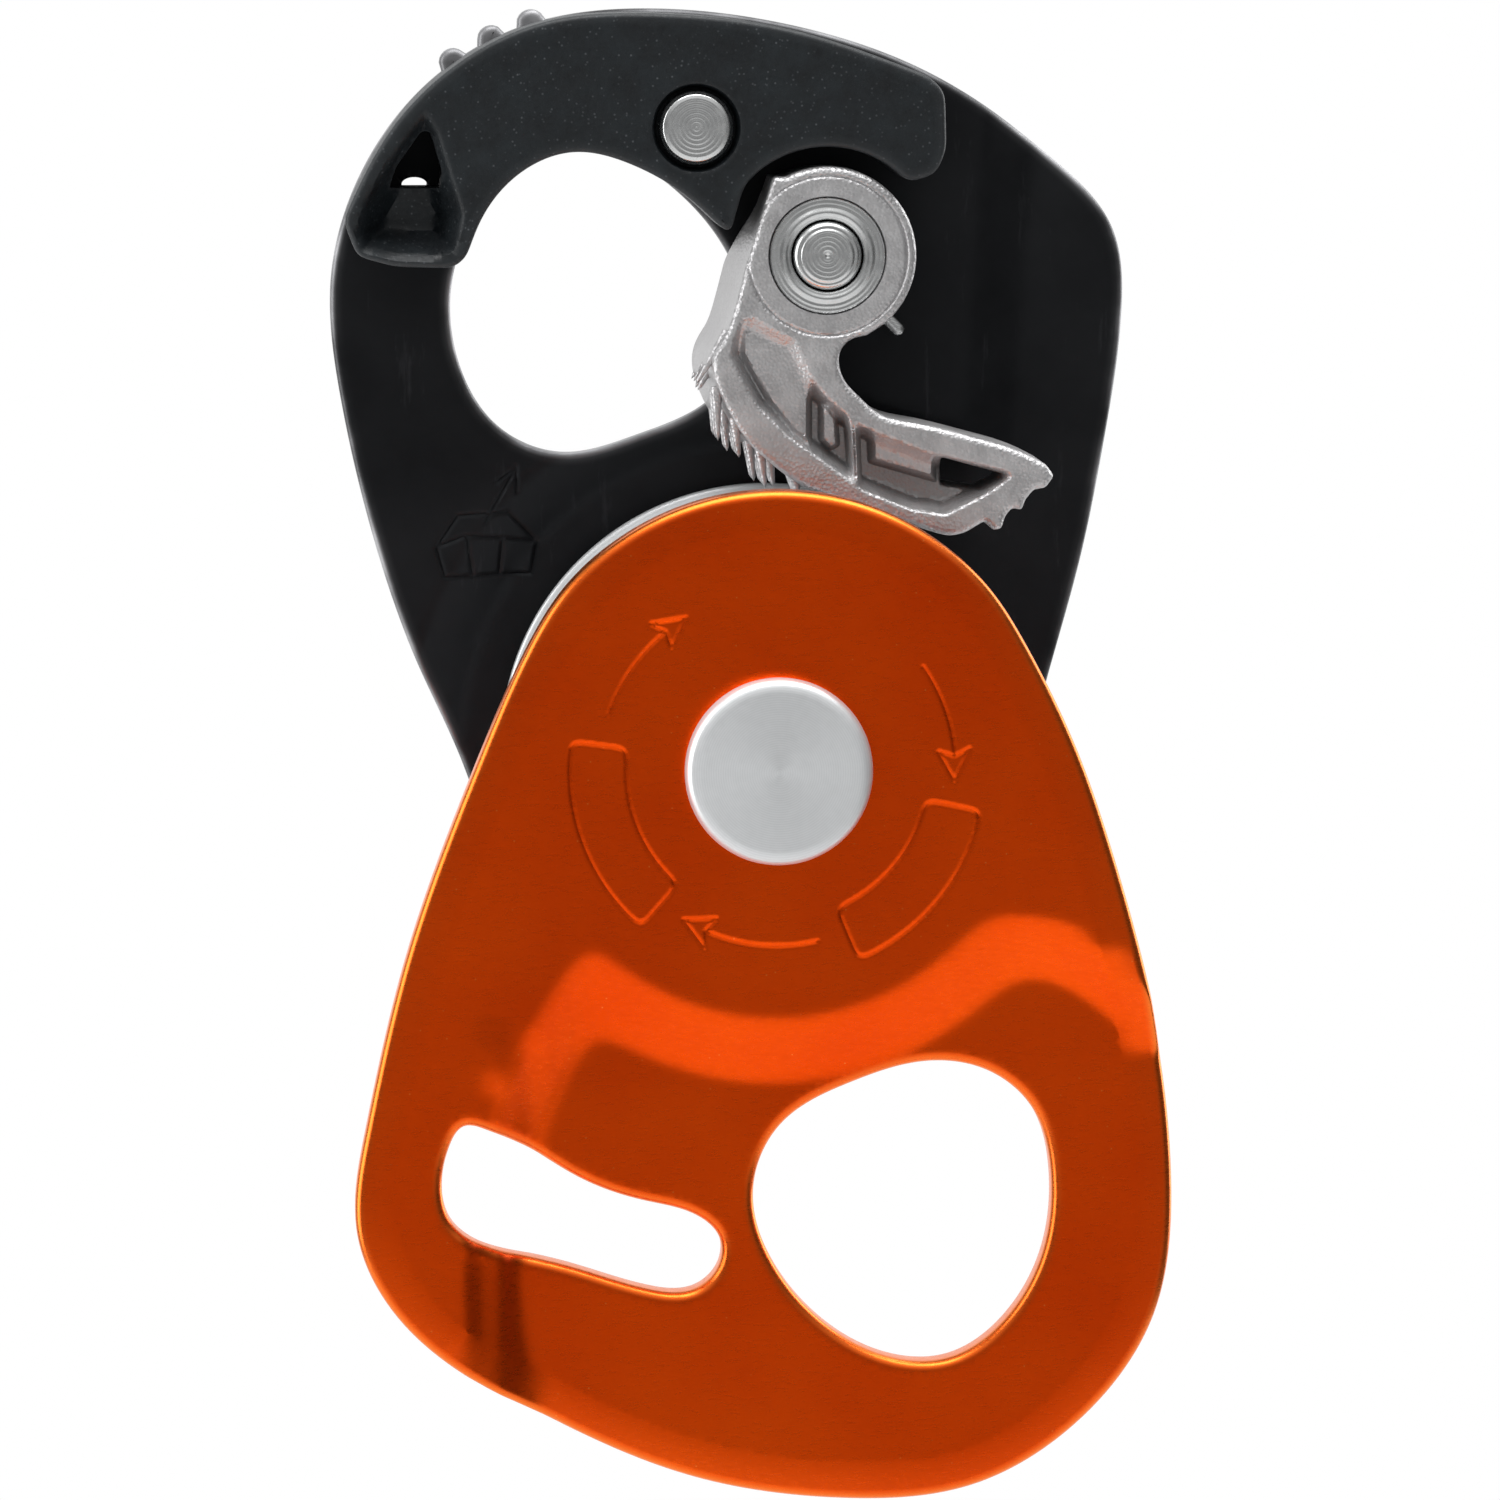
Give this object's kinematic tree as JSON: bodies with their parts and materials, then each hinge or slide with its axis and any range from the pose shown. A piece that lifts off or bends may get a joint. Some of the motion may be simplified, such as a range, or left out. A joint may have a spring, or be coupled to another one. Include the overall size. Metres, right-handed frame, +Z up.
{
  "type": "rope grab",
  "caption": "Pocket pulley rope grab: swing cheek turned open, sealed-bearing sheave, toothed locking cam with thumb lever, and an attachment eye with a wear insert.",
  "frame": {"origin": "centre of the attachment eye, midway between the cheeks", "axes": "+Z up towards the eye's end of the device when it hangs, -Y towards the viewer of the swing cheek, sheave axle along Y"},
  "size_m": [0.0495, 0.022, 0.0879],
  "materials": {
    "black_anodised": "satin black anodised",
    "orange_anodised": "orange anodised, fine brushed grain",
    "black_nylon": "glass-filled, fine speckle",
    "seal_rubber": "matte",
    "pale_plastic": "smooth",
    "grey_alloy": "matte turned",
    "cast_steel": "bead-blasted casting",
    "turned_steel": "bright turned",
    "bronze": "plain"
  },
  "bodies": {
    "fixed_side": {"fixed_plate": "black_anodised", "eye_insert": "black_nylon", "insert_rivet": "turned_steel", "main_axle": "turned_steel", "axle_cap": "grey_alloy", "pivot_washer": "pale_plastic", "spacer_front": "turned_steel", "spacer_rear": "turned_steel", "inner_race": "turned_steel", "cam_pin": "turned_steel", "cam_washer_front": "turned_steel", "cam_washer_rear": "turned_steel", "cam_spring": "turned_steel"},
    "swing_side": {"swing_plate": "orange_anodised"},
    "rope_wheel": {"sheave": "grey_alloy", "outer_race": "turned_steel", "bearing_seal_front": "seal_rubber", "bearing_seal_rear": "seal_rubber"},
    "ball_train": {"ball_cage": "bronze", "bearing_ball_1": "turned_steel", "bearing_ball_2": "turned_steel", "bearing_ball_3": "turned_steel", "bearing_ball_4": "turned_steel", "bearing_ball_5": "turned_steel", "bearing_ball_6": "turned_steel", "bearing_ball_7": "turned_steel", "bearing_ball_8": "turned_steel", "bearing_ball_9": "turned_steel"},
    "cam": {"toothed_cam": "cast_steel", "cam_bush": "bronze"}
  },
  "joints": [
    {"name": "swing_plate_pivot", "type": "hinge", "parent": "fixed_side", "child": "swing_side", "pos_m": [0.0104, 0, -0.0268], "axis": [0, -1, 0], "range_deg": [0, 185]},
    {"name": "sheave_spin", "type": "hinge", "parent": "fixed_side", "child": "rope_wheel", "pos_m": [0.0104, 0, -0.0268], "axis": [0, 1, 0], "continuous": true},
    {"name": "cage_spin", "type": "hinge", "parent": "fixed_side", "child": "ball_train", "pos_m": [0.0104, 0, -0.0268], "axis": [0, 1, 0], "continuous": true},
    {"name": "cam_pivot", "type": "hinge", "parent": "fixed_side", "child": "cam", "pos_m": [0.0136, 0, 0.003], "axis": [0, -1, 0], "range_deg": [0, 100], "stiffness_Nm_per_rad": 0.008, "springref_deg": -45.84}
  ],
  "couplings": [
    {"joint": "cage_spin", "follows": "sheave_spin", "ratio": 0.5889}
  ]
}
